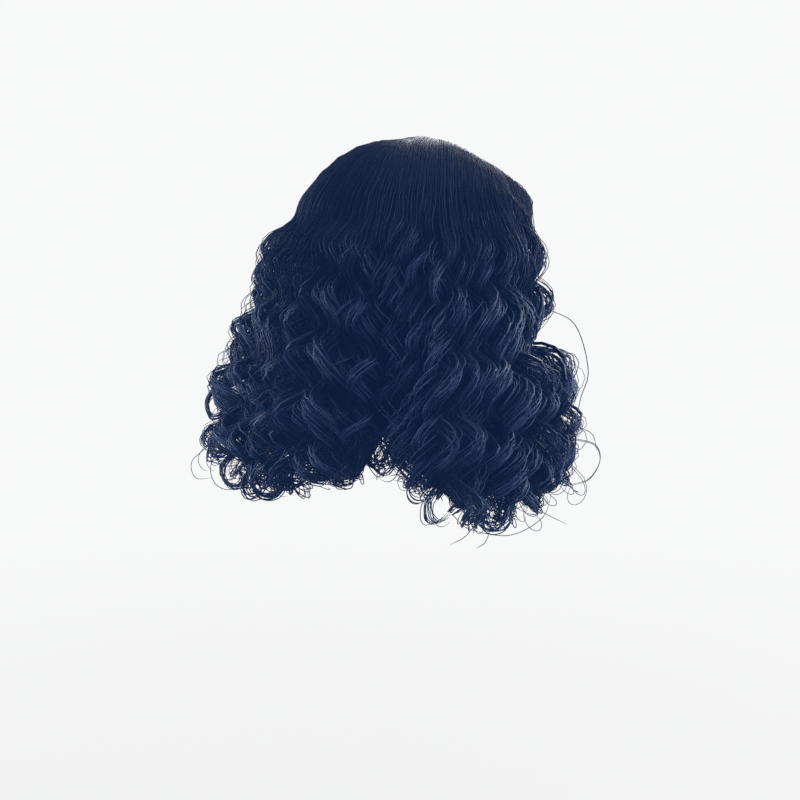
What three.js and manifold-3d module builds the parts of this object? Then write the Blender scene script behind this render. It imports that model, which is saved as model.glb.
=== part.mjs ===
// Short lace front wig: a hollow stretch cap, a sheer lace panel along the hairline and down the
// parting, and three sections of hair whose wavy locks are fused to a thick backing of hair.
// Millimetres, +Z up. The face looks along -Y and the origin is the crown seat, the highest point
// inside the cap. Azimuth is in degrees round +Z: 0 is the face, 90 the wearer's left, 180 the nape.
import * as THREE from "three";
import { mergeVertices } from "three/addons/utils/BufferGeometryUtils.js";
import Module from "manifold-3d";

const wasm = await Module();
wasm.setup();

// Cap and lace
const CAP_WALL = 1.2;
const SEAM_GAP = 0.4;
const LACE_DEPTH = 34; // from the hairline back to the seam with the cap, at the middle of the brow
const LACE_LEAN = 22; // degrees that the seam leans back from the brow towards the crown
const PARTING_WIDTH = 16;
const PARTING_FRONT = -77;
const PARTING_REAR = 8;

// Hair
const HAIR_OVER_CROWN = 9; // thickness of the hair that lies flat on the cap
const PARTING_GAP = 3; // bare lace that shows between the left and the right hair
const HAIRLINE_SETBACK = 5; // lace left bare in front of the first hairs
const CROWN_WHORL = 6; // radius of the ring of roots behind the parting
const BROW_HEIGHT = -90; // below it the head's sides are upright
const SHOULDER_HEIGHT = -46; // where the hair leaves the cap and starts to hang
const NECK_BOTTOM = -345; // below the lowest hair
const EDGE_ROUND = 18; // degrees over which the hair thins out towards the face
const EDGE_DEPTH = 0.42; // share of the full depth that is left at the very edge
const HEM_ROUND = 0.84; // share of the line where the outline starts to turn in towards the hem
const HEM_DEPTH = 0.3; // share of the depth that is lost there

// Beside the face the hair falls from the parting in an arch, and gives way at the cheeks
const FRONT_DROP = 42; // how much lower than elsewhere it leaves the head at the very edge
const FRONT_SPAN = 30; // degrees of hair that do
const FRONT_BEND = 1.9; // how late it turns down
const CHEEK_TURN = 13; // degrees to the side
const CHEEK_HEIGHTS = { top: -50, first: -110, last: -150, bottom: -200 };

// Over the right shoulder the hair falls apart to the front and the back
const VALLEY = { azimuth: -128, width: 15, depth: 0.22, top: -80, full: -200 };

// Waves and locks
const LOCK_SPAN = 18; // degrees of the head that one lock covers
const LOCK_PROFILE = [0, 0.78, 1, 0.78]; // how far the skin stands out, across a lock
const LOCK_BULGE = 11; // depth of the grooves between locks
const CROWN_BULGE = 0.18; // share of that depth on the smooth crown
const WAVE_PITCH = 50;
const WAVE_SWING = 2.8; // degrees to either side
const WAVE_BULGE = 6.5;
const WAVE_LAG = 7; // degrees of a wave's turn for each degree round the head, a whole number
const WAVE_START = -55; // height where the waves begin
const WAVE_FULL = -150; // height below which they have their full size
const RINGLET_SIDES = 5;
const RINGLET_STEPS = 4.5; // to each turn
const RINGLET_TIP = 0.5; // share of the thickness that is left at the tip
const RINGLET_OPEN = 0.5; // share of its length over which a ringlet opens to its full curl

// The head that the cap fits, and below it the free space round the neck: half sizes at each height
const HEAD_ROWS = [
  { z: 0, front: 0, side: 0, back: 0 },
  { z: -3, front: 10, side: 26, back: 31 },
  { z: -8, front: 20, side: 40, back: 52 },
  { z: -16, front: 36, side: 52, back: 72 },
  { z: -28, front: 59, side: 63, back: 90 },
  { z: -42, front: 78, side: 70, back: 99 },
  { z: -62, front: 82, side: 74, back: 105 },
  { z: -95, front: 83, side: 75, back: 108 },
  { z: -130, front: 80, side: 74, back: 102 },
  { z: -172, front: 77, side: 70, back: 86 },
  { z: -215, front: 76, side: 70, back: 82 },
  { z: -270, front: 78, side: 74, back: 86 },
  { z: -340, front: 80, side: 78, back: 92 },
];

// The outline of the hanging hair: half sizes at each height
const HAIR_ROWS = [
  { z: -46, front: 90, side: 84, back: 114 },
  { z: -62, front: 95, side: 92, back: 120 },
  { z: -72, front: 98, side: 98, back: 131 },
  { z: -84, front: 100, side: 104, back: 144 },
  { z: -104, front: 102, side: 112, back: 150 },
  { z: -130, front: 98, side: 122, back: 159 },
  { z: -148, front: 85, side: 128, back: 166 },
  { z: -165, front: 81, side: 134, back: 172 },
  { z: -184, front: 112, side: 141, back: 189 },
  { z: -200, front: 124, side: 147, back: 190 },
  { z: -235, front: 128, side: 155, back: 194 },
  { z: -265, front: 119, side: 156, back: 196 },
  { z: -285, front: 106, side: 151, back: 178 },
  { z: -305, front: 96, side: 145, back: 154 },
  { z: -340, front: 92, side: 130, back: 134 },
];

// The cap's edge, from the hairline over the temple, ear tab and ear to the nape
const RIM_ROWS = [
  { azimuth: 0, z: -42 },
  { azimuth: 35, z: -50 },
  { azimuth: 58, z: -78 },
  { azimuth: 78, z: -124 },
  { azimuth: 96, z: -108 },
  { azimuth: 125, z: -140 },
  { azimuth: 152, z: -166 },
  { azimuth: 180, z: -170 },
];

// How low the hair reaches round the head. It parts over the right shoulder and before the left one.
const HEM_ROWS = [
  { azimuth: -235, z: -300 },
  { azimuth: -200, z: -279 },
  { azimuth: -186, z: -291 },
  { azimuth: -172, z: -305 },
  { azimuth: -152, z: -303 },
  { azimuth: -145, z: -284 },
  { azimuth: -140, z: -264 },
  { azimuth: -134, z: -256 },
  { azimuth: -127, z: -261 },
  { azimuth: -121, z: -280 },
  { azimuth: -114, z: -300 },
  { azimuth: -105, z: -316 },
  { azimuth: -94, z: -333 },
  { azimuth: -84, z: -326 },
  { azimuth: -76, z: -317 },
  { azimuth: -66, z: -312 },
  { azimuth: -55, z: -306 },
  { azimuth: -33, z: -297 },
  { azimuth: 33, z: -298 },
  { azimuth: 60, z: -320 },
  { azimuth: 76, z: -300 },
  { azimuth: 86, z: -268 },
  { azimuth: 125, z: -300 },
];

// Each section of hair, from its first to its last azimuth, and where its roots run. The first azimuth
// of a section that is rooted along the parting is its free edge beside the face.
const SECTIONS = [
  { name: "hair_right", first: -30, last: -126.4, roots: "parting", side: -1 },
  { name: "hair_back", first: -127.6, last: -279.4, roots: "crown", side: 0 },
  { name: "hair_left", first: 30, last: 79.4, roots: "parting", side: 1 },
];

// The ringlets of each lock. Place is the share of the lock's span, start and end the shares of the line.
const RINGLETS = [
  { place: 0.32, start: 0.76, end: 0.977, depth: 0.9, radius: 8.5, curl: 4.5 },
  { place: 0.66, start: 0.787, end: 0.965, depth: 0.66, radius: 8.5, curl: 3.5 },
];

// Where rows of points lie along each line of hair, as shares of the line
const SKIN_ROWS = { crown: 4, hang: 19, stop: 0.947 };

const radians = THREE.MathUtils.degToRad;
const mix = THREE.MathUtils.lerp;
const smooth = THREE.MathUtils.smoothstep;

// The value of a column at a key, on straight lines between a table's rows
function readRows(rows, key, value, column) {
  const rising = rows[rows.length - 1][key] > rows[0][key];
  const after = rows.findIndex((row) => (rising ? row[key] >= value : row[key] <= value));
  if (after === 0) return rows[0][column];
  if (after < 0) return rows[rows.length - 1][column];
  const [low, high] = [rows[after - 1], rows[after]];
  return mix(low[column], high[column], (value - low[key]) / (high[key] - low[key]));
}

// Radius of an oval with its own half sizes to the front, side and back
function ovalRadius(half, azimuth) {
  const forward = Math.cos(radians(azimuth));
  const sideways = Math.sin(radians(azimuth));
  return 1 / Math.hypot(sideways / half.side, forward / (forward > 0 ? half.front : half.back));
}

function halfSizes(rows, z) {
  const size = (column) => readRows(rows, "z", z, column);
  return { front: size("front"), side: size("side"), back: size("back") };
}

function polar(azimuth, radius, z) {
  return new THREE.Vector3(radius * Math.sin(radians(azimuth)), -radius * Math.cos(radians(azimuth)), z);
}

// The head form grown outward all over by an offset: upward at the crown, sideways below the brow
function headRows(offset) {
  const widest = Math.max(...HEAD_ROWS.map((row) => row.side));
  return HEAD_ROWS.map((row) => {
    const sideways = row.z < BROW_HEIGHT ? 1 : row.side / widest;
    const grown = { z: row.z + offset * Math.sqrt(1 - sideways * sideways) };
    for (const column of ["front", "side", "back"]) grown[column] = row[column] + offset * sideways;
    return grown;
  });
}

function headPoint(rows, azimuth, z) {
  return polar(azimuth, z < rows[0].z ? ovalRadius(halfSizes(rows, z), azimuth) : 0, z);
}

// Height of the top of the head above a point of the plan, and of its sides for points beside it
function headTop(x, y) {
  const azimuth = THREE.MathUtils.radToDeg(Math.atan2(x, -y));
  const radius = Math.hypot(x, y);
  const reach = HEAD_ROWS.map((row) => (row.z < 0 ? ovalRadius(row, azimuth) : 0));
  if (radius > Math.max(...reach)) return BROW_HEIGHT;
  const after = Math.max(1, reach.findIndex((r) => r >= radius));
  const [low, high] = [HEAD_ROWS[after - 1], HEAD_ROWS[after]];
  return mix(low.z, high.z, (radius - reach[after - 1]) / (reach[after] - reach[after - 1]));
}

// A closed solid between two grids of points, grid[row][column], facing out from inner to outer
function solidBetween(outer, inner, wrap) {
  const rows = outer.length;
  const columns = outer[0].length;
  const points = [...outer.flat(), ...inner.flat()].flatMap((p) => p.toArray());
  const half = rows * columns;
  const faces = [];
  const quad = (a, b, c, d) => faces.push(a, b, c, a, c, d);
  const spans = wrap ? columns : columns - 1;
  for (let r = 0; r < rows - 1; r++) {
    for (let c = 0; c < spans; c++) {
      const next = (c + 1) % columns;
      const [a, b] = [r * columns + c, r * columns + next];
      const [d, e] = [a + columns, b + columns];
      quad(a, d, e, b);
      quad(half + a, half + b, half + e, half + d);
    }
  }
  for (let c = 0; c < spans; c++) {
    const next = (c + 1) % columns;
    const last = (rows - 1) * columns;
    quad(half + c, c, next, half + next);
    quad(last + c, half + last + c, half + last + next, last + next);
  }
  if (!wrap) {
    for (let r = 0; r < rows - 1; r++) {
      const [a, d] = [r * columns, (r + 1) * columns];
      quad(a, half + a, half + d, d);
      const [b, e] = [a + columns - 1, d + columns - 1];
      quad(b, e, half + e, half + b);
    }
  }
  return solidFrom(points, faces);
}

// A solid from points and faces. Points that meet are merged, and faces with no area are dropped.
const MERGE_DISTANCE = 1e-3;

function solidFrom(points, faces) {
  const geometry = new THREE.BufferGeometry();
  geometry.setAttribute("position", new THREE.Float32BufferAttribute(points, 3));
  geometry.setIndex(faces);
  const merged = mergeVertices(geometry, MERGE_DISTANCE);
  const triVerts = [];
  for (let i = 0; i < merged.index.count; i += 3) {
    const [a, b, c] = [0, 1, 2].map((k) => merged.index.getX(i + k));
    if (a !== b && b !== c && c !== a) triVerts.push(a, b, c);
  }
  const mesh = new wasm.Mesh({
    numProp: 3,
    vertProperties: merged.getAttribute("position").array,
    triVerts: new Uint32Array(triVerts),
  });
  return new wasm.Manifold(mesh);
}

function largestBody(solid) {
  return solid.decompose().reduce((best, body) => (body.volume() > best.volume() ? body : best));
}

function meshOf(name, solid, material) {
  const { vertProperties, triVerts } = largestBody(solid).getMesh();
  const geometry = new THREE.BufferGeometry();
  geometry.setAttribute("position", new THREE.BufferAttribute(new Float32Array(vertProperties), 3));
  geometry.setIndex(new THREE.BufferAttribute(new Uint32Array(triVerts), 1));
  geometry.computeVertexNormals();
  const mesh = new THREE.Mesh(geometry, material);
  mesh.name = name;
  return mesh;
}

// Rows of points on the head form from the crown down to the cap's edge
const CAP_COLUMNS = 36;
const CAP_LEVELS = [0, 0.012, 0.045, 0.1, 0.19, 0.32, 0.5, 0.74, 1];

function domeGrid(offset) {
  const rows = headRows(offset);
  return CAP_LEVELS.map((level) =>
    Array.from({ length: CAP_COLUMNS }, (_, column) => {
      const azimuth = (column * 360) / CAP_COLUMNS;
      const rim = readRows(RIM_ROWS, "azimuth", Math.min(azimuth, 360 - azimuth), "z");
      return headPoint(rows, azimuth, mix(offset, rim, level));
    }),
  );
}

// The head and neck down to a height, as a plug that clears room for them and the cap. Below the cap it
// widens behind the face, because the hair hangs clear of the neck there.
const NECK_ROOM = { top: -165, full: -215, first: 40, last: 80, depth: 0.14 };

function headPlug(offset, bottom) {
  const rows = headRows(offset);
  const heights = [...rows.map((row) => row.z).filter((z) => z > bottom), bottom];
  const round = (point) => Array.from({ length: CAP_COLUMNS }, (_, c) => point((c * 360) / CAP_COLUMNS));
  const roomPoint = (azimuth, z) => {
    const behind = smooth(Math.min(azimuth, 360 - azimuth), NECK_ROOM.first, NECK_ROOM.last);
    const clear = NECK_ROOM.depth * behind * smooth(-z, -NECK_ROOM.top, -NECK_ROOM.full);
    const outline = polar(azimuth, ovalRadius(halfSizes(HAIR_ROWS, z), azimuth), z);
    return headPoint(rows, azimuth, z).lerp(outline, clear);
  };
  const skin = heights.map((z) => round((azimuth) => roomPoint(azimuth, z)));
  const core = heights.map((z) => round(() => new THREE.Vector3(0, 0, z)));
  return solidBetween(skin, core, true);
}

// A slab in front of the seam between lace and cap, with the strip under the parting
function laceCutter(grow) {
  const box = (width, depth, height) => new THREE.BoxGeometry(width, depth, height);
  const reach = 400; // past the whole head
  const front = box(reach, reach, reach);
  const seam = new THREE.Vector3(0, PARTING_FRONT - HAIRLINE_SETBACK + LACE_DEPTH + grow, 0);
  front.translate(0, -reach / 2, 0).rotateX(radians(LACE_LEAN));
  front.translate(seam.x, seam.y, seam.z + headTop(seam.x, seam.y));
  const strip = box(PARTING_WIDTH + 2 * grow, PARTING_REAR - PARTING_FRONT + grow, LACE_DEPTH * 2);
  strip.translate(0, (PARTING_REAR + PARTING_FRONT + grow) / 2, 0);
  return solidOfGeometry(front).add(solidOfGeometry(strip));
}

function solidOfGeometry(geometry) {
  return solidFrom([...geometry.getAttribute("position").array], [...geometry.index.array]);
}

// Where a section's hair is rooted: along the parting, or round the crown behind it
function rootPlan(section, azimuth, share) {
  if (section.roots === "parting") {
    return new THREE.Vector2((section.side * PARTING_GAP) / 2, mix(PARTING_FRONT, PARTING_REAR, share));
  }
  const round = polar(azimuth, CROWN_WHORL, 0);
  return new THREE.Vector2(round.x, round.y + PARTING_REAR + PARTING_GAP / 2);
}

// How near hair is to the edge beside the face, where no other section meets it: 1 there, and 0 from a
// number of degrees on
function edgeNearness(section, azimuth, degrees, easing) {
  if (section.roots === "crown") return 0;
  return 1 - easing(Math.min(1, Math.abs(azimuth - section.first) / degrees));
}

// Depth of the hair at an azimuth: it thins out towards the face
const quarterWave = (share) => Math.sin((Math.PI / 2) * share);

function edgeDepth(section, azimuth) {
  return mix(1, EDGE_DEPTH, edgeNearness(section, azimuth, EDGE_ROUND, quarterWave));
}

// Where hair of a section hangs at a height: the azimuth that it has moved to, and its point
function hangingAt(section, azimuth, depth, z) {
  const apart = (azimuth - VALLEY.azimuth) / VALLEY.width;
  const fallen = Math.exp(-apart * apart) * smooth(-z, -VALLEY.top, -VALLEY.full);
  const { top, first, last, bottom } = CHEEK_HEIGHTS;
  const cheek = smooth(-z, -top, -first) * (1 - smooth(-z, -last, -bottom));
  const nearFace = edgeNearness(section, azimuth, EDGE_ROUND, quarterWave);
  const turned = azimuth + section.side * CHEEK_TURN * nearFace * cheek;
  const inner = ovalRadius(halfSizes(HEAD_ROWS, z), azimuth) + CAP_WALL;
  const radius = mix(inner, ovalRadius(halfSizes(HAIR_ROWS, z), azimuth), depth);
  return { azimuth: turned, point: polar(turned, radius * (1 - VALLEY.depth * fallen), z) };
}

// The line that hair follows at an azimuth, from its root over the cap and down to the hem.
// Its first third lies on the cap and the rest hangs. Depth 0 is on the cap and against the neck,
// and 1 is on the hair's outline.
const DOME_SHARES = [0, 0.22, 0.5, 0.78];
const HANG_SPANS = 8;
const SHOULDER = DOME_SHARES.length / (DOME_SHARES.length + HANG_SPANS);

function hairLine(section, azimuth, depth) {
  const share = (azimuth - section.first) / (section.last - section.first);
  const draped = edgeNearness(section, azimuth, FRONT_SPAN, (s) => smooth(s, 0, 1));
  const root = rootPlan(section, azimuth, share);
  const rootAzimuth = THREE.MathUtils.radToDeg(Math.atan2(root.x, -root.y));
  const shoulderHeight = SHOULDER_HEIGHT - FRONT_DROP * draped;
  const shoulder = hangingAt(section, azimuth, depth, shoulderHeight);
  const thickness = depth * HAIR_OVER_CROWN;
  const dome = DOME_SHARES.map((s) => {
    const x = mix(root.x, shoulder.point.x, s);
    const y = mix(root.y, shoulder.point.y, s);
    const over = new THREE.Vector3(x, y, Math.max(headTop(x, y), shoulderHeight) + CAP_WALL + thickness);
    const z = mix(headTop(root.x, root.y), shoulderHeight, s ** FRONT_BEND);
    const aside = mix(rootAzimuth, shoulder.azimuth, s);
    const stands = thickness * Math.SQRT1_2;
    const round = polar(aside, ovalRadius(halfSizes(HEAD_ROWS, z), aside) + CAP_WALL + stands, z + stands);
    return draped > 0 ? over.lerp(round, draped) : over;
  });
  const hem = readRows(HEM_ROWS, "azimuth", azimuth < HEM_ROWS[0].azimuth ? azimuth + 360 : azimuth, "z");
  const hang = Array.from({ length: HANG_SPANS + 1 }, (_, i) =>
    hangingAt(section, azimuth, depth, mix(shoulderHeight, hem, i / HANG_SPANS)).point,
  );
  return new THREE.CatmullRomCurve3([...dome, ...hang], false, "centripetal");
}

// How far the waves have grown at a height, and what they do there to the hair at an azimuth
function waveGrowth(z) {
  return smooth(-z, -WAVE_START, -WAVE_FULL);
}

function waveAt(azimuth, z) {
  const turn = (2 * Math.PI * z) / WAVE_PITCH + radians(azimuth * WAVE_LAG);
  const grown = waveGrowth(z);
  return { swing: WAVE_SWING * grown * Math.sin(turn), bulge: WAVE_BULGE * grown * (Math.cos(turn) - 1) };
}

const UP = new THREE.Vector3(0, 0, 1);

function swung(point, degrees) {
  return point.clone().applyAxisAngle(UP, radians(degrees));
}

function lockCount(section) {
  return Math.round(Math.abs(section.last - section.first) / LOCK_SPAN);
}

function skinShares() {
  const { crown, hang, stop } = SKIN_ROWS;
  const onCrown = Array.from({ length: crown }, (_, r) => (SHOULDER * r) / crown);
  return [...onCrown, ...Array.from({ length: hang + 1 }, (_, r) => mix(SHOULDER, stop, r / hang))];
}

// The body of a section: a waved and grooved skin, closed on a core deep inside the head and neck
const CORE_DEPTH = -0.6;

function hairBody(section) {
  const columns = lockCount(section) * LOCK_PROFILE.length;
  const lines = Array.from({ length: columns + 1 }, (_, c) => {
    const azimuth = mix(section.first, section.last, c / columns);
    const relief = 1 - LOCK_PROFILE[c % LOCK_PROFILE.length];
    const skin = hairLine(section, azimuth, edgeDepth(section, azimuth));
    return { azimuth, relief, skin, core: hairLine(section, azimuth, CORE_DEPTH) };
  });
  const skinPoint = (line, share) => {
    const core = line.core.getPoint(share);
    const turned = Math.max(0, (share - HEM_ROUND) / (SKIN_ROWS.stop - HEM_ROUND));
    const point = line.skin.getPoint(share).lerp(core, HEM_DEPTH * turned * turned);
    const outward = point.clone().sub(core).normalize();
    const wave = waveAt(line.azimuth, point.z);
    const groove = LOCK_BULGE * line.relief * mix(CROWN_BULGE, 1, waveGrowth(point.z));
    return swung(point.addScaledVector(outward, wave.bulge - groove), wave.swing);
  };
  const corePoint = (line, share) => {
    const point = line.core.getPoint(share);
    return swung(point, waveAt(line.azimuth, point.z).swing);
  };
  const ordered = section.last < section.first ? lines.reverse() : lines;
  const grid = (pointOf) => skinShares().map((share) => ordered.map((line) => pointOf(line, share)));
  return solidBetween(grid(skinPoint), grid(corePoint), false);
}

// One ringlet: a tapered tube that winds about its line
function ringlet(section, azimuth, style, phase, hand) {
  const line = hairLine(section, azimuth, style.depth * edgeDepth(section, azimuth));
  const drop = line.getPoint(style.start).distanceTo(line.getPoint(style.end));
  const turns = drop / WAVE_PITCH;
  const steps = Math.round(turns * RINGLET_STEPS);
  const points = [];
  for (let i = 0; i <= steps; i++) {
    const along = i / steps;
    const share = mix(style.start, style.end, along);
    const tangent = line.getTangent(share);
    const centre = line.getPoint(share);
    const outward = new THREE.Vector3(centre.x, centre.y, 0).projectOnPlane(tangent).normalize();
    const across = new THREE.Vector3().crossVectors(tangent, outward);
    const turn = phase + hand * 2 * Math.PI * turns * along;
    const reach = style.curl * Math.sin((Math.PI / 2) * Math.min(1, along / RINGLET_OPEN));
    const offset = (length, angle) => {
      const sideways = across.clone().multiplyScalar(length * Math.cos(angle));
      return sideways.addScaledVector(outward, length * Math.sin(angle));
    };
    centre.add(offset(reach, turn));
    const radius = style.radius * mix(1, RINGLET_TIP, along * along);
    const { swing } = waveAt(azimuth, centre.z);
    for (let k = 0; k < RINGLET_SIDES; k++) {
      points.push(swung(centre.clone().add(offset(radius, (2 * Math.PI * k) / RINGLET_SIDES)), swing));
    }
  }
  return tubeSolid(points, steps);
}

// A closed tube from rings of points
function tubeSolid(points, steps) {
  const faces = [];
  const last = steps * RINGLET_SIDES;
  for (let a = 0; a < last; a += RINGLET_SIDES) {
    for (let k = 0; k < RINGLET_SIDES; k++) {
      const [p, q] = [a + k, a + ((k + 1) % RINGLET_SIDES)];
      faces.push(p, q + RINGLET_SIDES, q, p, p + RINGLET_SIDES, q + RINGLET_SIDES);
    }
  }
  for (let k = 1; k < RINGLET_SIDES - 1; k++) {
    faces.push(0, k, k + 1, last, last + k + 1, last + k);
  }
  return solidFrom(points.flatMap((point) => point.toArray()), faces);
}

// All the ringlets of a section, with a steady spread of phases
const GOLDEN_TURN = 2.399963;

function ringletsOf(section) {
  const count = lockCount(section);
  return Array.from({ length: count }, (_, i) =>
    RINGLETS.map((style, row) => {
      const azimuth = mix(section.first, section.last, (i + style.place) / count);
      return ringlet(section, azimuth, style, (i + row * count) * GOLDEN_TURN, i % 2 ? 1 : -1);
    }),
  ).flat();
}

function hairSection(section, room) {
  const body = hairBody(section).subtract(room);
  return ringletsOf(section).reduce((all, solid) => all.add(solid), body);
}

const materials = {
  hair: new THREE.MeshStandardMaterial({ color: 0x18264a, roughness: 0.45, metalness: 0 }),
  net: new THREE.MeshStandardMaterial({ color: 0x1b1a1d, roughness: 0.85, metalness: 0 }),
  lace: new THREE.MeshStandardMaterial({ color: 0x8f8a88, roughness: 0.8, metalness: 0 }),
};

const dome = solidBetween(domeGrid(CAP_WALL), domeGrid(0), true);
const room = headPlug(CAP_WALL + SEAM_GAP, NECK_BOTTOM);

const wig = new THREE.Group();
wig.add(meshOf("cap", dome.subtract(laceCutter(SEAM_GAP)), materials.net));
wig.add(meshOf("lace_front", dome.intersect(laceCutter(0)), materials.lace));
for (const section of SECTIONS) {
  wig.add(meshOf(section.name, hairSection(section, room), materials.hair));
}

export default wig;
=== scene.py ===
"""Looks of a short lace front wig: waved strands in locks over a dark body of hair, lace and a net cap.

Metres, +Z up. The face looks along -Y, and the origin is the crown seat inside the cap. Azimuth is in
degrees round +Z: 0 is the face, 90 the wearer's left, 180 the nape.
"""

import math

import bpy
import numpy as np
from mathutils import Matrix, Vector


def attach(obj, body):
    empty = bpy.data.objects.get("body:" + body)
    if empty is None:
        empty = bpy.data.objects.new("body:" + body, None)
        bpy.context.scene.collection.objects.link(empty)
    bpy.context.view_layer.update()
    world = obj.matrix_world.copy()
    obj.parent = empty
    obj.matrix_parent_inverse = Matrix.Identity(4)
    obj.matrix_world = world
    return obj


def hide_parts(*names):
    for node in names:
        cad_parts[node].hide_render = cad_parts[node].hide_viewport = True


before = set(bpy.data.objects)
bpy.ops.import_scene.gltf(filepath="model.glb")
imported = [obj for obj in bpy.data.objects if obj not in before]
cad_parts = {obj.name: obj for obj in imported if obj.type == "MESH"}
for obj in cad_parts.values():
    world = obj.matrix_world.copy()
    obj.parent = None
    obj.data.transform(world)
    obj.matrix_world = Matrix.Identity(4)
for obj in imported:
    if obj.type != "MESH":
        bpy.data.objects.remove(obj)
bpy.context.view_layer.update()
UV_MAP = "OFBake"
RNG = np.random.default_rng(41)

# Sizes of the hair
CAP_WALL = 0.0012
HAIR_OVER_CROWN = 0.009
PARTING_GAP = 0.003
PARTING_FRONT = -0.077
PARTING_REAR = 0.008
CROWN_WHORL = 0.0015  # radius of the ring of roots behind the parting
SHOULDER_HEIGHT = -0.046  # where the hair leaves the cap and hangs
SHOULDER_SHARE = 0.5  # of the hair's length lies on the cap
DOME_STEPS = (0, 0.22, 0.5, 0.78)  # of the way from the root to the shoulder
HANG_STEPS = 17
DOME_LIFT = 0.0026  # of the rounded back of the crown
DOME_BACK = (0.62, 0.92)  # how far back, as a cosine, that lift begins and is full
ROOT_HEIGHT = 0.40  # of the hair's height on the cap, at the parting
ROOT_RISE = 0.45  # of the way to the shoulder, where hair from the parting has its full height
ROOT_REAR = 0.6  # of the way along the parting, from where the roots stand higher
WHORL_HEIGHT = 0.74  # of the hair's height on the cap, round the whorl
FRONT_LIFT = 0.001  # of the hair at the hairline, forward and up
FRONT_EARLY = 0.15  # of the way to the shoulder, by which that lift comes early
FRONT_DROP = 0.042  # that the hair beside the face falls before it hangs
FRONT_SPAN = 30  # degrees of hair that do so
FRONT_BEND = 1.9  # how late it turns down
EDGE_ROUND = 18  # degrees over which the hair thins out towards the face
EDGE_DEPTH = 0.42  # of its depth that is left there
VALLEY = -128  # azimuth where the hair falls apart to the front and the back
VALLEY_WIDTH = 15
VALLEY_DEPTH = 0.22
VALLEY_DROP = (0.08, 0.20)  # below the crown, where the valley begins and is full
VALLEY_TURN = 1.5  # degrees that the hair gives way to either side of it
VALLEY_EDGE = 3  # how sharply it does
FACE_TURN = 13  # degrees that the hair beside the face gives way at the cheeks
CHEEK_TOP = (0.05, 0.11)  # below the crown, where it begins to give way and does so in full
CHEEK_END = (0.15, 0.20)  # where it comes back
WAVE_PITCH = 0.0455
WAVE_LAG = 7  # waves that they shift by in a turn round the head
WAVE_SHIFT = 4.6
WAVE_START = -0.050
WAVE_FULL = -0.110
WAVE_SPREAD = 0.011  # how far the groups of locks differ in where they begin to wave

# Camera at the photograph's angle
VIEW_AZIMUTH = 250
VIEW_ELEVATION = 5
VIEW_DISTANCE = 1.33
FRAME_WIDTH = 0.700  # width of the picture at the wig's axis
FRAME_PIXELS = 800
AIM_RIGHT = -0.026  # of the crown seat, in the picture
AIM_HEIGHT = -0.218


def direction(azimuth, elevation):
    """Direction from the wig to a camera or light."""
    a, e = math.radians(azimuth), math.radians(elevation)
    return Vector((math.sin(a) * math.cos(e), -math.cos(a) * math.cos(e), math.sin(e)))


VIEW_BACK = direction(VIEW_AZIMUTH, VIEW_ELEVATION)
VIEW_RIGHT = Vector((0, 0, 1)).cross(VIEW_BACK).normalized()
VIEW_UP = VIEW_BACK.cross(VIEW_RIGHT)
VIEW_TARGET = VIEW_RIGHT * AIM_RIGHT + Vector((0, 0, AIM_HEIGHT))


def picture_place(across, down, nearness):
    """The point seen at a pixel of the picture, at a nearness to the camera."""
    scale = FRAME_WIDTH / FRAME_PIXELS * (1 - nearness / VIEW_DISTANCE)
    right, up = (across - FRAME_PIXELS / 2) * scale, (FRAME_PIXELS / 2 - down) * scale
    return VIEW_TARGET + VIEW_RIGHT * right + VIEW_UP * up + VIEW_BACK * nearness


def columns(names, rows):
    """A table of rows as named columns."""
    return {name: np.array(values) for name, values in zip(names.split(), zip(*rows))}


def records(names, rows):
    """A table of rows as one dictionary for each row."""
    return [dict(zip(names.split(), row)) for row in rows]


# The head that the cap fits, and below it the free space round the neck: half sizes at each height
HEAD = columns("z front side back", [
    (0.000, 0.000, 0.000, 0.000),
    (-0.003, 0.010, 0.026, 0.031),
    (-0.008, 0.020, 0.040, 0.052),
    (-0.016, 0.036, 0.052, 0.072),
    (-0.028, 0.059, 0.063, 0.090),
    (-0.042, 0.078, 0.070, 0.099),
    (-0.062, 0.082, 0.074, 0.105),
    (-0.095, 0.083, 0.075, 0.108),
    (-0.130, 0.080, 0.074, 0.102),
    (-0.172, 0.077, 0.070, 0.086),
    (-0.215, 0.076, 0.070, 0.082),
    (-0.340, 0.080, 0.078, 0.092),
])
DOME_ROWS = 8  # of the table, from the crown to where the cap is widest

# The outline of the hanging hair: half sizes at each height
HAIR = columns("z front side back", [
    (-0.046, 0.090, 0.084, 0.114),
    (-0.062, 0.095, 0.092, 0.120),
    (-0.072, 0.098, 0.098, 0.131),
    (-0.084, 0.100, 0.104, 0.144),
    (-0.104, 0.102, 0.112, 0.150),
    (-0.130, 0.098, 0.122, 0.159),
    (-0.148, 0.081, 0.128, 0.166),
    (-0.165, 0.067, 0.133, 0.172),
    (-0.173, 0.075, 0.136, 0.179),
    (-0.184, 0.110, 0.141, 0.189),
    (-0.200, 0.124, 0.147, 0.190),
    (-0.235, 0.128, 0.155, 0.194),
    (-0.265, 0.122, 0.157, 0.196),
    (-0.285, 0.117, 0.156, 0.178),
    (-0.305, 0.108, 0.150, 0.154),
    (-0.340, 0.098, 0.134, 0.134),
])

# Rounded lobes of hair: where they stand out from that outline, and how far
LOBES = columns("azimuth z out", [
    (-200, -0.080, 0.011),
    (-168, -0.096, 0.006),
    (-150, -0.084, 0.007),
    (-112, -0.100, 0.006),
    (-78, -0.088, 0.006),
    (-238, -0.098, 0.007),
    (-262, -0.085, 0.006),
    (50, -0.092, 0.006),
    (-200, -0.262, 0.008),
])
LOBE_WIDTH = 13
LOBE_HEIGHT = 0.013

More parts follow.
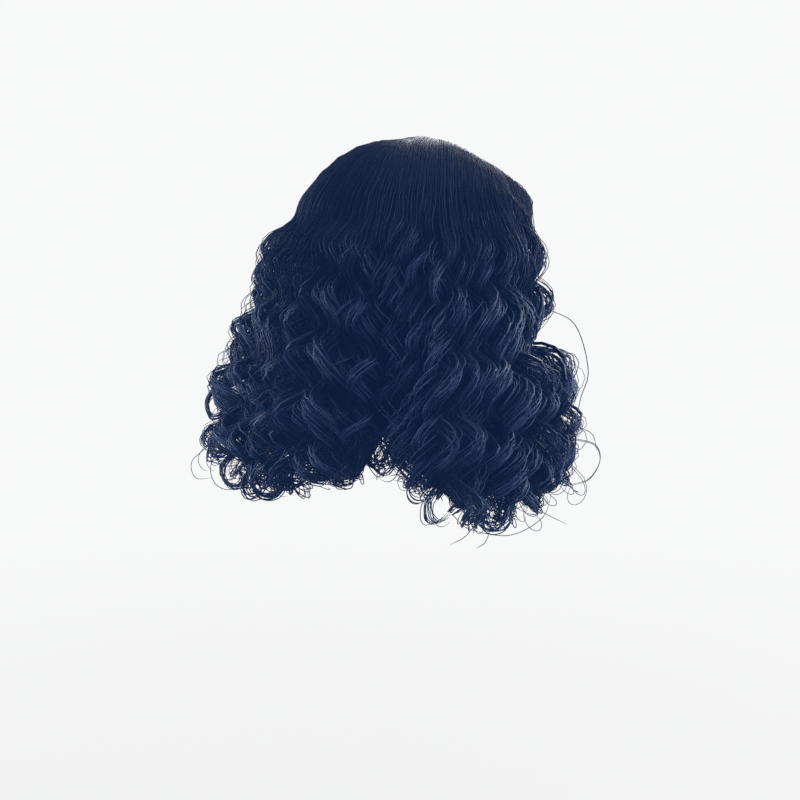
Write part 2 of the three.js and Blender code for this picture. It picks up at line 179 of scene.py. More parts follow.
# How low the hair reaches round the head
HEM = columns("azimuth z", [
    (-235, -0.300),
    (-200, -0.272),
    (-186, -0.286),
    (-172, -0.305),
    (-152, -0.307),
    (-147, -0.303),
    (-142, -0.286),
    (-138, -0.260),
    (-132, -0.250),
    (-128, -0.262),
    (-123, -0.291),
    (-117, -0.298),
    (-107, -0.308),
    (-94, -0.333),
    (-84, -0.326),
    (-76, -0.317),
    (-66, -0.316),
    (-55, -0.312),
    (-33, -0.299),
    (33, -0.298),
    (60, -0.320),
    (76, -0.300),
    (86, -0.268),
    (125, -0.300),
])

# Sections of hair: first and last azimuth, whether rooted along the parting, side of the parting, and
# pitch of the waves
SECTIONS = [
    {"node": "hair_right", "first": -30, "last": -127.4, "parting": True, "side": -1, "pitch": 0.054},
    {"node": "hair_back", "first": -126.6, "last": -280.4, "parting": False, "side": 0, "pitch": 0.046},
    {"node": "hair_left", "first": 30, "last": 80.4, "parting": True, "side": 1, "pitch": 0.050},
]

# Layers of locks. Depth is from the head to the outline, start and end are shares of the hair's length,
# spacing is in degrees, and points counts those along each strand.
LAYERS = records("name depth start end spacing strands points", [
    ("outer", 0.92, 0.0, 0.965, 5.0, 13, 61),
    ("second", 0.80, 0.0, 0.96, 5.6, 8, 56),
    ("third", 0.62, 0.56, 0.96, 6.5, 9, 41),
    ("inner", 0.40, 0.76, 0.955, 8.0, 6, 20),
    ("neck", 0.10, 0.76, 0.94, 6.5, 8, 20),
    ("stray", 0.97, 0.52, 0.96, 5.0, 3, 40),
])
RING_POINTS = 11  # more in the ring at each strand's end

# Points are few on the head and close together in the waves: share of the points up to a share of the length
POINT_SHARES = (0.0, 0.12, 1.0)
LENGTH_SHARES = (0.0, 0.5, 1.0)

# Waves
WAVE_SIDE = 0.0064
WAVE_OUT = 0.0074
WAVE_INSET = 0.55  # of their height that the waves lie inside the outline
WAVE_GAIN = 0.55  # that the waves gain towards the ends
WAVE_GAIN_SHARES = (0.62, 0.85)  # of the length, where they begin to gain and have gained
DRIFT = 0.0045  # of a lock, slowly from side to side
DRIFT_OUT = 0.7  # of that drift, in and out
DRIFT_RATE = 14  # radians of that drift over the hair's length

# Locks and the strands in them
LOCK_RADIUS = 0.0072
LOCK_TIP = 0.0030
LOCK_TAPER = 0.66  # share of the length from which a lock narrows
LOCK_FLATNESS = 0.36
RING_CLOSING = 0.35  # of its radius that a ring loses along its turn
STRAND_RADIUS = 0.00048
STRAND_SIDES = 3
STRAND_THICKNESS = (0.8, 1.2)
STRAND_DEPTHS = (0.05, 1.0)  # least and most, on the crown
TIP_START = 0.9  # share of a strand from which it tapers
TIP_RADIUS = 0.4  # of the strand's own
CLUMP = 0.94  # how far strands come together in their lock
CLUMP_SPAN = 0.24  # share of the length over which they do
FRIZZ = 0.0007
FRIZZ_RATES = (25, 60)  # radians over the hair's length
LOOSE_SHARE = 0.16  # of the strands stray from their lock
LOOSE_REACH = 2.2  # how much wider they lie
LOOSE_CLUMP = 0.6  # share of the others' by which they come together
LOOSE_PHASE = 2.2  # how much more their waves differ
LOOSE_RADIUS = 0.66  # of the others'
CORE_SHARE = 0.24  # of the lock's radius
CORE_SIDES = 4
CORE_START = 0.56
CORE_RISE = 0.12  # share of the length over which a core grows to its radius
CORE_SHORTER = 0.012  # share of the length that a core ends before its lock
CORE_POINTS = 36  # at most, without the ring
CORE_LEAST = 0.0004
CORE_TIP = 0.5  # of the core's radius, at the end of its ring

# The dark body under the locks
BODY_DEPTH = 0.60
BODY_INSIDE = 0.22
BODY_EDGES = (2, 10)  # degrees that it stays back from the face, at the root and where it hangs
BODY_EDGE_SHARES = (0.3, 0.6)  # of the length, between which it goes from the one to the other
BODY_SPACING = 2.2  # degrees between its columns
BODY_COLUMNS = 12  # at least
BODY_STEPS = 56
BODY_STOP = 0.945
BODY_WAVE = 0.003
BODY_INSET = 0.006  # of its waves
BODY_RIB = 0.0012
BODY_RIBS = 40  # in a turn round the head
BODY_CLOSING = 0.84  # share of the length from which it turns inward
BODY_END = 0.026  # how far inward

# Shades, from 0 for dark to 1 for light: a random tone, with painted shade on deeper layers and painted
# highlights and shade on the waves
UV_LIMITS = (0.02, 0.98)  # of a strand's shade and of the place along it
DEPTH_PAINTED_SHADE = 0.5  # painted shade: how far outer hair is lighter and deeper layers darker
SHADE_DEPTH = 0.8  # depth of a layer that this painted shade leaves neither lighter nor darker
STRAND_SHADES = 0.08  # how far strands differ in shade
CREST_PAINTED_LIGHT = 0.30  # painted highlight and shade: how far crests are lighter and troughs darker
STRAIGHT_SHADE = 0.8  # of that, by which hair that doesn't wave is darker
PIECE_TRIANGLES = 185000


def smooth(x, low, high):
    """Rises from 0 to 1 between low and high."""
    s = np.clip((x - low) / (high - low), 0, 1)
    return s * s * (3 - 2 * s)


def mix(a, b, share):
    """Goes from a to b as share goes from 0 to 1."""
    return a + (b - a) * share


def unit(v):
    """Vectors brought to length 1."""
    return v / np.maximum(np.linalg.norm(v, axis=-1, keepdims=True), 1e-9)


def oval_radius(table, azimuth, z):
    """Radius at an azimuth and a height of a form with its own half sizes to the front, side and back."""
    front, side, back = (np.interp(-z, -table["z"], table[k]) for k in ("front", "side", "back"))
    angle = np.radians(azimuth)
    forward, sideways = np.cos(angle), np.sin(angle)
    return 1 / np.hypot(sideways / side, forward / np.where(forward > 0, front, back))


def polar(azimuth, radius, z):
    """Points at an azimuth, a distance from the axis and a height."""
    angle = np.radians(azimuth)
    return np.stack([radius * np.sin(angle), -radius * np.cos(angle), z + 0 * radius], axis=-1)


def head_top(x, y):
    """Height of the head above points of the plan."""
    azimuth, radius = np.degrees(np.arctan2(x, -y)), np.hypot(x, y)
    heights = HEAD["z"][1:DOME_ROWS]
    reach = [np.zeros_like(radius)] + [oval_radius(HEAD, azimuth, np.full_like(radius, z)) for z in heights]
    top = np.full_like(radius, heights[-1])
    for low, high, z0, z1 in zip(reach, reach[1:], HEAD["z"], heights):
        inside = (radius >= low) & (radius <= high)
        top = np.where(inside, mix(z0, z1, (radius - low) / np.maximum(high - low, 1e-6)), top)
    return top


def edge_nearness(section, azimuth):
    """1 at the edge beside the face, 0 away from it."""
    if not section["parting"]:
        return np.zeros_like(azimuth)
    from_edge = np.clip(np.abs(azimuth - section["first"]) / EDGE_ROUND, 0, 1)
    return 1 - np.sin(from_edge * math.pi / 2)


def edge_depth(section, azimuth):
    """The hair thins out towards the face."""
    return mix(1, EDGE_DEPTH, edge_nearness(section, azimuth))


def line_points(section, azimuth, depth):
    """Control points of the lines that hair follows, from the root over the cap and down to the hem."""
    share = np.clip((azimuth - section["first"]) / (section["last"] - section["first"]), 0, 1)
    if section["parting"]:
        root_x = np.full_like(azimuth, section["side"] * PARTING_GAP / 2)
        root_y = mix(PARTING_FRONT, PARTING_REAR, share)
    else:
        whorl = polar(azimuth, np.full_like(azimuth, CROWN_WHORL), 0.0)
        root_x, root_y = whorl[:, 0], whorl[:, 1] + PARTING_REAR + PARTING_GAP / 2

    near_face = edge_nearness(section, azimuth)
    if section["parting"]:
        draped = 1 - smooth(np.abs(azimuth - section["first"]), 0, FRONT_SPAN)
    else:
        draped = np.zeros_like(azimuth)
    apart = (azimuth - VALLEY) / VALLEY_WIDTH
    valley = np.exp(-apart * apart)
    hem = np.interp(np.where(azimuth < HEM["azimuth"][0], azimuth + 360, azimuth), HEM["azimuth"], HEM["z"])

    def hanging(z):
        """Azimuth and point of the hanging hair at a height."""
        inner = oval_radius(HEAD, azimuth, z) + CAP_WALL
        outer = oval_radius(HAIR, azimuth, z)
        for at, height, out in zip(*LOBES.values()):
            outer = outer + out * np.exp(-((azimuth - at) / LOBE_WIDTH)**2 - ((z - height) / LOBE_HEIGHT)**2)
        fallen = valley * smooth(-z, *VALLEY_DROP)
        cheek = smooth(-z, *CHEEK_TOP) * (1 - smooth(-z, *CHEEK_END))
        turned = azimuth + VALLEY_TURN * np.tanh(VALLEY_EDGE * apart) * fallen
        turned = turned + section["side"] * FACE_TURN * near_face * cheek
        return turned, polar(turned, mix(inner, outer, depth) * (1 - VALLEY_DEPTH * fallen), z)

    shoulder_z = SHOULDER_HEIGHT - FRONT_DROP * draped
    shoulder_azimuth, shoulder = hanging(shoulder_z)
    root_z = head_top(root_x, root_y)
    root_azimuth = np.degrees(np.arctan2(root_x, -root_y))
    lift = DOME_LIFT * smooth(-np.cos(np.radians(azimuth)), *DOME_BACK)
    dome_depth = depth / mix(1, EDGE_DEPTH, near_face)
    points = []
    for s in DOME_STEPS:
        if section["parting"]:
            flat = (1 - smooth(s, 0, ROOT_RISE)) * (1 - smooth(share, ROOT_REAR, 1))
            rooted = 1 - (1 - ROOT_HEIGHT) * flat
        else:
            rooted = 1 - (1 - WHORL_HEIGHT) * math.sin(math.pi * min(1, 2 * s))
        height = dome_depth * rooted * (HAIR_OVER_CROWN + lift * math.sin(math.pi * s))
        x, y = mix(root_x, shoulder[:, 0], s), mix(root_y, shoulder[:, 1], s)
        over = np.stack([x, y, np.maximum(head_top(x, y), shoulder_z) + CAP_WALL + height], axis=-1)
        round_z = mix(root_z, shoulder_z, s**FRONT_BEND)
        round_azimuth = mix(root_azimuth, shoulder_azimuth, s)
        stands = (height + FRONT_LIFT * math.sin(math.pi * min(1, s + FRONT_EARLY))) * math.sqrt(0.5)
        radius = oval_radius(HEAD, round_azimuth, round_z) + CAP_WALL + stands
        points.append(mix(over, polar(round_azimuth, radius, round_z + stands), draped[:, None]))
    for s in np.linspace(0, 1, HANG_STEPS):
        points.append(hanging(mix(shoulder_z, hem, s))[1])
    return np.stack(points, axis=1)


def spline(points, share):
    """Points at shares of centripetal curves. points is (curve, point, 3) and share is (curve, place)."""
    ends = [2 * points[:, :1] - points[:, 1:2], points, 2 * points[:, -1:] - points[:, -2:-1]]
    knots = np.concatenate(ends, axis=1)
    gaps = np.sqrt(np.linalg.norm(np.diff(knots, axis=1), axis=2))[..., None]
    spans = points.shape[1] - 1
    at = np.interp(share, (0, SHOULDER_SHARE, 1), (0, len(DOME_STEPS), spans))
    span = np.minimum(at.astype(int), spans - 1)
    u = (at - span)[..., None]

    def pick(values, step):
        return np.take_along_axis(values, (span + step)[..., None], axis=1)

    p0, p1, p2, p3 = (pick(knots, k) for k in range(4))
    d0, d1, d2 = (pick(gaps, k) for k in range(3))
    m1 = ((p1 - p0) / d0 - (p2 - p0) / (d0 + d1) + (p2 - p1) / d1) * d1
    m2 = ((p2 - p1) / d1 - (p3 - p1) / (d1 + d2) + (p3 - p2) / d2) * d1
    u2, u3 = u * u, u * u * u
    ends_part = (2 * u3 - 3 * u2 + 1) * p1 + (3 * u2 - 2 * u3) * p2
    return ends_part + (u3 - 2 * u2 + u) * m1 + (u3 - u2) * m2


def even_spline(points, share):
    """Points at the same shares of smooth curves through points, each span taking the same share."""
    ends = [2 * points[:, :1] - points[:, 1:2], points, 2 * points[:, -1:] - points[:, -2:-1]]
    knots = np.concatenate(ends, axis=1)
    at = share * (points.shape[1] - 1)
    span = np.minimum(at.astype(int), points.shape[1] - 2)
    u = (at - span)[None, :, None]
    p0, p1, p2, p3 = (knots[:, span + k] for k in range(4))
    return 0.5 * (2 * p1 + (p2 - p0) * u + (2 * p0 - 5 * p1 + 4 * p2 - p3) * u**2
                  + (3 * p1 - p0 - 3 * p2 + p3) * u**3)


# Outward is level where the hair hangs, and turns upward on the crown
CROWN_OUTWARD = 0.08
CROWN_HEIGHTS = (-0.075, -0.015)


def line_frames(path):
    """Directions to the side and outward along paths on the head."""
    tangent = unit(np.gradient(path, axis=1))
    lift = CROWN_OUTWARD * smooth(path[..., 2], *CROWN_HEIGHTS)
    outward = np.stack([path[..., 0], path[..., 1], lift], axis=-1)
    outward = unit(outward - tangent * np.sum(outward * tangent, axis=-1, keepdims=True))
    return np.cross(outward, tangent), outward


def shares_along(start, end, points):
    """Shares of the hair's length at each point of each strand."""
    first = np.interp(start, LENGTH_SHARES, POINT_SHARES)[:, None]
    place = mix(first, 1, np.linspace(0, 1, points)[None])
    share = np.interp(place, POINT_SHARES, LENGTH_SHARES)
    start = start[:, None]
    return start + (share - start) * ((end[:, None] - start) / (1 - start))


# Azimuths where the curls change their hand, and the share of locks that keep to it
HAND_CHANGES = (-205, -128, 0)
SAME_HAND = 0.94
# Neighbouring locks swing together and make up larger curls: where each group ends, and its swing
GROUP_FIRST = -300
GROUP_WIDTHS = RNG.uniform(9, 17, 36)
GROUP_ENDS = GROUP_FIRST + np.cumsum(GROUP_WIDTHS)
GROUP_COUNT = 40  # enough for every end
GROUP_PHASES = WAVE_SHIFT + RNG.normal(0, 1.3, GROUP_COUNT)
GROUP_LEANS = RNG.normal(0, 0.8, GROUP_COUNT)
GROUP_STRENGTHS = RNG.uniform(0.8, 1.2, GROUP_COUNT)
# The deepest locks wave less: the least strength, and the depths between which it grows
CALM_STRENGTH = 0.4
CALM_DEPTHS = (0.1, 0.5)
# How locks differ: the least and the most of a value
LOCK_RANGES = {
    "place": (-0.4, 0.4),
    "depth": (-0.07, 0.05),
    "strength": (0.85, 1.15),
    "size": (0.7, 1.3),
    "ring_radius": (0.0075, 0.0125),
    "ring_angle": (2.0, 5.2),
    "gather": (0.46, 0.60),
    "shade": (0.22, 0.66),
}
# How locks differ: the mean and the spread of a value
LOCK_SPREADS = {
    "end": (0, 0.012),
    "phase": (0, 0.3),
    "wave_pitch": (1, 0.04),
    "lean": (0, 0.3),
    "ring_turn": (0.35, 0.5),
    "ring_rise": (0, 0.25),
}
# How strands differ from their lock
STRAND_SPREADS = {
    "end": 0.008,
    "depth": 0.10,
    "phase": 0.26,
    "ring_radius": 0.05,
    "ring_angle": 0.07,
    "ring_turn": 0.07,
    "strength": 0.12,
}


def locks_of(section, layer):
    """The numbers of each lock of a layer."""
    span = section["last"] - section["first"]
    count = max(3, round(abs(span) / layer["spacing"]))

    def ranged(key):
        return RNG.uniform(*LOCK_RANGES[key], count)

    def spread(key):
        return RNG.normal(*LOCK_SPREADS[key], count)

    place = (np.arange(count) + 0.5 + ranged("place")) / count
    azimuth = section["first"] + span * place
    group = np.searchsorted(GROUP_ENDS, azimuth)
    hand = (-1.0)**np.searchsorted(HAND_CHANGES, azimuth)
    calm = mix(CALM_STRENGTH, 1, smooth(layer["depth"], *CALM_DEPTHS))
    return {
        "azimuth": azimuth,
        "depth": layer["depth"] + ranged("depth"),
        "start": np.full(count, layer["start"]),
        "end": layer["end"] - np.abs(spread("end")),
        "phase": np.radians(azimuth * WAVE_LAG) + GROUP_PHASES[group] + spread("phase"),
        "hand": np.where(RNG.random(count) < SAME_HAND, 1.0, -1.0) * hand,
        "strength": GROUP_STRENGTHS[group] * ranged("strength") * calm,
        "size": ranged("size"),
        "wave_pitch": section["pitch"] * spread("wave_pitch"),
        "lean": GROUP_LEANS[group] + spread("lean"),
        "onset": WAVE_SPREAD * GROUP_LEANS[group],
        "ring_radius": ranged("ring_radius"),
        "ring_angle": ranged("ring_angle"),
        "ring_turn": spread("ring_turn"),
        "ring_rise": spread("ring_rise"),
        "gather": ranged("gather"),
        # a random tone, with painted shade that darkens the deeper layers
        "shade": ranged("shade") + DEPTH_PAINTED_SHADE * (layer["depth"] - SHADE_DEPTH),
        "drift": RNG.normal(0, 1, (count, 2)),
        "drift_turn": RNG.uniform(0, 2 * math.pi, (count, 2)),
    }


def waved(path, share, lock, frames):
    """Bends paths into waves that grow towards the ends. Also gives how far each place is on a crest, for
    the painted highlights on crests and painted shade in troughs.
    """
    side, outward = frames
    z = path[..., 2]

    def at(key):
        return lock[key][:, None]

    drop = np.cumsum(np.abs(np.diff(z, axis=1, prepend=z[:, :1])), axis=1)
    turn = at("phase") + 2 * math.pi * (z[:, :1] / WAVE_PITCH - drop / at("wave_pitch"))
    begun = smooth(at("onset") - z, -WAVE_START, -WAVE_FULL)
    grown = begun * at("strength") * (1 + WAVE_GAIN * smooth(share, *WAVE_GAIN_SHARES))
    slow = share[..., None] * DRIFT_RATE + at("drift_turn")
    drift = DRIFT * grown[..., None] * at("drift") * np.sin(slow)
    across = at("hand") * WAVE_SIDE * grown * np.sin(turn) + drift[..., 0]
    crest = grown * np.cos(turn + at("lean"))
    lifted = WAVE_OUT * (crest - WAVE_INSET * grown) + DRIFT_OUT * drift[..., 1]
    bent = path + side * across[..., None] + outward * lifted[..., None]
    return bent, crest - STRAIGHT_SHADE * (1 - begun)


def ringed(path, lock, frames):
    """Adds a ring to the end of each path, turned inward or to the side."""
    side, outward = frames[0][:, -1], frames[1][:, -1]
    along = unit(path[:, -1] - path[:, -2])
    turn, hand = lock["ring_turn"][:, None], lock["hand"][:, None]
    inward = side * hand * np.sin(turn) - outward * np.cos(turn)
    inward = unit(inward - along * np.sum(inward * along, axis=1, keepdims=True))
    across = np.cross(along, inward) * lock["ring_rise"][:, None]
    step = np.arange(1, RING_POINTS + 1) / RING_POINTS
    angle = lock["ring_angle"][:, None] * step
    radius = lock["ring_radius"][:, None] * (1 - RING_CLOSING * step)
    reach = radius * lock["ring_angle"][:, None] / RING_POINTS
    way = np.cos(angle)[..., None] * along[:, None] + np.sin(angle)[..., None] * inward[:, None]
    ring = np.cumsum((way + across[:, None]) * reach[..., None], axis=1)
    return np.concatenate([path, path[:, -1:] + ring], axis=1)


def lock_radius(share, size):
    """Half width of a lock along its length."""
    return mix(LOCK_RADIUS * size[:, None], LOCK_TIP, smooth(share, LOCK_TAPER, 1.0))


def core_paths(section, layer, locks):
    """A thicker middle for each lock."""
    start = np.maximum(locks["start"], CORE_START)
    share = shares_along(start, locks["end"] - CORE_SHORTER, min(layer["points"], CORE_POINTS))
    depth = locks["depth"] * edge_depth(section, locks["azimuth"])
    path = spline(line_points(section, locks["azimuth"], depth), share)
    frames = line_frames(path)
    path = ringed(waved(path, share, locks, frames)[0], locks, frames)
    rise = smooth(share, start[:, None], start[:, None] + CORE_RISE)
    radius = np.maximum(CORE_SHARE * lock_radius(share, locks["size"]) * rise, CORE_LEAST)
    tip = radius[:, -1:] * np.linspace(1, CORE_TIP, RING_POINTS)
    return path, np.concatenate([radius, tip], axis=1)


def frizz(share, count):
    """Small slow swings that keep strands from lying exactly side by side."""
    turn = RNG.uniform(0, 2 * math.pi, (count, 1, 3))
    rate = RNG.uniform(*FRIZZ_RATES, (count, 1, 3))
    return FRIZZ * RNG.random((count, 1, 1)) * np.sin(rate * share[..., None] + turn)


def tapered(points, start):
    """Share of its radius that a strand has at each of its points."""
    return mix(1.0, TIP_RADIUS, smooth(np.linspace(0, 1, points)[None], start, 1.0))


def strand_paths(section, layer, locks):
    """Strands gather from their own roots into the lock that they belong to."""
    owner = np.repeat(np.arange(len(locks["azimuth"])), layer["strands"])
    count = len(owner)
    lock = {key: value[owner] for key, value in locks.items()}

    def spread(key):
        return RNG.normal(0, STRAND_SPREADS[key], count)

    loose = RNG.random(count) < (1 if layer["name"] == "stray" else LOOSE_SHARE)
    end = np.clip(lock["end"] - np.abs(spread("end")), 0, 1)
    share = shares_along(lock["start"], end, layer["points"])
    depth = lock["depth"] * edge_depth(section, lock["azimuth"])
    path = spline(line_points(section, lock["azimuth"], depth), share)
    frames = line_frames(path)

    angle, reach = RNG.uniform(0, 2 * math.pi, count), np.sqrt(RNG.random(count))
    reach = np.where(loose, reach * LOOSE_REACH, reach)[:, None] * lock_radius(share, lock["size"])
    gathered = path + frames[0] * (reach * np.cos(angle)[:, None])[..., None]
    gathered += frames[1] * (LOCK_FLATNESS * reach * np.sin(angle)[:, None])[..., None]
    span = section["last"] - section["first"]
    own_azimuth = section["first"] + span * (np.arange(count) + RNG.random(count)) / count
    crown_depth = layer["depth"] * edge_depth(section, own_azimuth)
    own_depth = np.clip(crown_depth + spread("depth"), *STRAND_DEPTHS)
    own_path = spline(line_points(section, own_azimuth, own_depth), share)
    gather = lock["gather"][:, None]
    clump = CLUMP * smooth(share, gather, gather + CLUMP_SPAN) * np.where(loose, LOOSE_CLUMP, 1.0)[:, None]
    path = mix(own_path, gathered, clump[..., None])

    lock["phase"] = lock["phase"] + spread("phase") * np.where(loose, LOOSE_PHASE, 1.0)
    lock["ring_radius"] = lock["ring_radius"] * (1 + spread("ring_radius"))
    lock["ring_angle"] = lock["ring_angle"] * (1 + spread("ring_angle"))
    lock["ring_turn"] = lock["ring_turn"] + spread("ring_turn")
    lock["strength"] = lock["strength"] * (1 + spread("strength"))
    path, crest = waved(path, share, lock, frames)
    path = ringed(path + frizz(share, count), lock, frames)
    thickness = np.where(loose, LOOSE_RADIUS, 1.0) * RNG.uniform(*STRAND_THICKNESS, count)
    radius = STRAND_RADIUS * thickness[:, None] * tapered(path.shape[1], TIP_START)
    crest = np.concatenate([crest, np.repeat(crest[:, -1:], RING_POINTS, axis=1)], axis=1)
    # the strand's shade: its lock's tone and its own, with painted highlights on crests and painted shade in
    # troughs
    shade = lock["shade"] + RNG.normal(0, STRAND_SHADES, count)
    return path, radius, np.clip(shade[:, None] + CREST_PAINTED_LIGHT * crest, *UV_LIMITS)


# A direction that no strand starts along
TUBE_ASIDE = (0.31, 0.17, 0.93)


def tube_arrays(path, radius, sides):
    """Vertices and faces of closed tubes along paths. path is (tube, point, 3) and radius (tube, point)."""
    count, points, _ = path.shape
    tangent = unit(np.gradient(path, axis=1))
    normal = np.zeros_like(path)
    normal[:, 0] = unit(np.cross(tangent[:, 0], TUBE_ASIDE))
    for i in range(1, points):
        along = np.sum(normal[:, i - 1] * tangent[:, i], axis=-1, keepdims=True)
        normal[:, i] = unit(normal[:, i - 1] - tangent[:, i] * along)
    binormal = np.cross(tangent, normal)
    angles = np.arange(sides) * 2 * math.pi / sides
    ring = normal[:, :, None] * np.cos(angles)[:, None] + binormal[:, :, None] * np.sin(angles)[:, None]
    vertices = (path[:, :, None] + ring * radius[:, :, None, None]).reshape(-1, 3)
    first = (np.arange(count) * points * sides)[:, None, None]
    step = (np.arange(points - 1) * sides)[None, :, None]
    k = np.arange(sides)[None, None]
    a, b = first + step + k, first + step + (k + 1) % sides
    quads = np.stack([a, b, b + sides, a + sides], axis=-1).reshape(-1, 4)
    base = np.arange(count)[:, None] * points * sides
    root = base + np.arange(sides)[None, ::-1]
    tip = base + (points - 1) * sides + np.arange(sides)[None]
    return vertices, quads, np.concatenate([root, tip])


def mesh_piece(name, vertices, faces, uv):
    """A smooth mesh object from vertices, lists of face arrays, and a UV place for each vertex."""
    mesh = bpy.data.meshes.new(name)
    loops = np.concatenate([f.reshape(-1) for f in faces]).astype(np.int32)
    sizes = np.concatenate([np.full(len(f), f.shape[1]) for f in faces])
    mesh.vertices.add(len(vertices))
    mesh.vertices.foreach_set("co", vertices.astype(np.float32).ravel())
    mesh.loops.add(len(loops))
    mesh.loops.foreach_set("vertex_index", loops)
    mesh.polygons.add(len(sizes))
    mesh.polygons.foreach_set("loop_start", np.concatenate([[0], np.cumsum(sizes)[:-1]]).astype(np.int32))
    mesh.polygons.foreach_set("use_smooth", np.ones(len(sizes), bool))
    layer = mesh.uv_layers.new(name=UV_MAP)
    layer.data.foreach_set("uv", uv[loops].astype(np.float32).ravel())
    mesh.update(calc_edges=True)
    mesh.validate()
    piece = bpy.data.objects.new(name, mesh)
    bpy.context.scene.collection.objects.link(piece)
    return piece


def tube_piece(name, path, radius, sides, shade):
    """A piece of tubes whose UV holds the shade at each place across and the length along."""
    count, points, _ = path.shape
    vertices, quads, caps = tube_arrays(path, radius, sides)
    uv = np.zeros((count, points, sides, 2))
    uv[..., 0] = shade[..., None]
    uv[..., 1] = np.linspace(*UV_LIMITS, points)[None, :, None]
    return mesh_piece(name, vertices, [quads, caps], uv.reshape(-1, 2))


def hair_piece(piece, section, material):
    """Gives a piece its material, attaches it to the root and hides the hair solid that it stands for."""
    piece.data.materials.append(material)
    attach(piece, "root")
    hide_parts(section["node"])


def body_piece(section, material):
    """The dark body under the locks: a waved wall from the head outward, closed below."""
    span = section["last"] - section["first"]
    across, along = max(BODY_COLUMNS, round(abs(span) / BODY_SPACING)), BODY_STEPS
    share = np.repeat(np.linspace(0, BODY_STOP, along + 1)[None], across + 1, axis=0)
    at_root, hanging = (
        mix(section["first"] + back * section["side"], section["last"], np.linspace(0, 1, across + 1))
        for back in BODY_EDGES
    )
    skins = []
    for depth in (BODY_DEPTH, BODY_INSIDE):
        paths = []
        for azimuth in (at_root, hanging):
            depths = depth * edge_depth(section, azimuth)
            paths.append(spline(line_points(section, azimuth, depths), share))
        path = mix(*paths, smooth(share, *BODY_EDGE_SHARES)[..., None])
        if depth == BODY_DEPTH:
            outward = line_frames(path)[1]
            turn = 2 * math.pi * path[..., 2] / WAVE_PITCH + np.radians(hanging * WAVE_LAG)[:, None]
            grown = smooth(-path[..., 2], -WAVE_START, -WAVE_FULL)
            ribs = np.sin(np.radians(hanging * BODY_RIBS))[:, None] * BODY_RIB
            closing = smooth(share, BODY_CLOSING, BODY_STOP)[..., None]
            path = path + outward * ((BODY_WAVE * np.cos(turn) - BODY_INSET + ribs) * grown)[..., None]
            path = path - outward * BODY_END * closing
        skins.append(path)
    grid = np.stack(skins)
    rows, cols = across + 1, along + 1
    index = np.arange(2 * rows * cols).reshape(2, rows, cols)
    flip = span > 0

    def wall(a, b, c, d):
        face = np.stack([a, b, c, d], axis=-1).reshape(-1, 4)
        return face[:, ::-1] if flip else face

    outer, inner = index
    faces = [
        wall(outer[:-1, :-1], outer[1:, :-1], outer[1:, 1:], outer[:-1, 1:]),
        wall(inner[:-1, :-1], inner[:-1, 1:], inner[1:, 1:], inner[1:, :-1]),
        wall(outer[0, :-1], outer[0, 1:], inner[0, 1:], inner[0, :-1]),
        wall(outer[-1, :-1], inner[-1, :-1], inner[-1, 1:], outer[-1, 1:]),
        wall(outer[:-1, 0], inner[:-1, 0], inner[1:, 0], outer[1:, 0]),
        wall(outer[:-1, -1], outer[1:, -1], inner[1:, -1], inner[:-1, -1]),
    ]
    uv = np.zeros((2, rows, cols, 2))
    uv[..., 0] = np.linspace(0, 1, rows)[None, :, None]
    uv[..., 1] = np.linspace(0, 1, cols)[None, None]
    piece = mesh_piece(section["node"] + "_body", grid.reshape(-1, 3), faces, uv.reshape(-1, 2))
    hair_piece(piece, section, material)


def strand_pieces(section, layer, locks, material):
    """The strands of a layer, split where a piece would be too large."""
    path, radius, shade = strand_paths(section, layer, locks)
    triangles = len(path) * path.shape[1] * 2 * STRAND_SIDES
    parts = math.ceil(triangles / PIECE_TRIANGLES)
    for number, picked in enumerate(np.array_split(np.arange(len(path)), parts)):
        suffix = "" if parts == 1 else "_" + "abcdef"[number]
        name = section["node"] + "_" + layer["name"] + suffix
        piece = tube_piece(name, path[picked], radius[picked], STRAND_SIDES, shade[picked])
        hair_piece(piece, section, material)


def core_piece(section, layer, locks, material):
    """The cores of a layer's locks."""
    path, radius = core_paths(section, layer, locks)
    name = section["node"] + "_" + layer["name"] + "_cores"
    shade = np.repeat(RNG.uniform(*UV_LIMITS, (len(path), 1)), path.shape[1], axis=1)
    hair_piece(tube_piece(name, path, radius, CORE_SIDES, shade), section, material)


def new_material(name):
    """A material with its nodes, links and shader."""
    material = bpy.data.materials.new(name)
    material.use_nodes = True
    nodes, links = material.node_tree.nodes, material.node_tree.links
    shader = next(n for n in nodes if n.type == "BSDF_PRINCIPLED")
    return material, nodes, links, shader


def set_values(shader, **values):
    """Sets a shader's inputs, with _ for the spaces in their names."""
    for name, value in values.items():
        shader.inputs[name.replace("_", " ")].default_value = value


def ramp(nodes, stops):
    """A colour ramp through stops, each a place and a colour."""
    node = nodes.new("ShaderNodeValToRGB")
    elements = node.color_ramp.elements
    while len(elements) < len(stops):
        elements.new(0.5)
    for element, (place, colour) in zip(elements, stops):
        element.position = place
        element.color = (*colour, 1)
    return node


def hair_shine_and_glow(shader):
    """Blue shine, and a painted blue glow that lifts the shadows."""
    set_values(shader, Roughness=0.46, Specular_IOR_Level=0.085, Specular_Tint=(0.42, 0.62, 1.0, 1))
    # painted glow: a faint blue emission stands in for light in the shadows
    set_values(shader, Emission_Color=(0.08, 0.28, 1.0, 1), Emission_Strength=0.039)


def hair_place(nodes):
    """The place in the UV map: across is the shade of a strand, with its painted highlights and shade, up is
    along it.
    """
    place = nodes.new("ShaderNodeUVMap")
    place.uv_map = UV_MAP
    return place.outputs["UV"]


def hair_material(name, dark, middle, light):
    """Blue black fibre, with a shade of its own for each strand that carries painted highlights and painted
    shade.
    """
    material, nodes, links, shader = new_material(name)
    split = nodes.new("ShaderNodeSeparateXYZ")
    links.new(hair_place(nodes), split.inputs[0])
    colour = ramp(nodes, [(0.0, dark), (0.55, middle), (1.0, light)])
    links.new(split.outputs["X"], colour.inputs["Fac"])
    links.new(colour.outputs["Color"], shader.inputs["Base Color"])
    hair_shine_and_glow(shader)
    return material


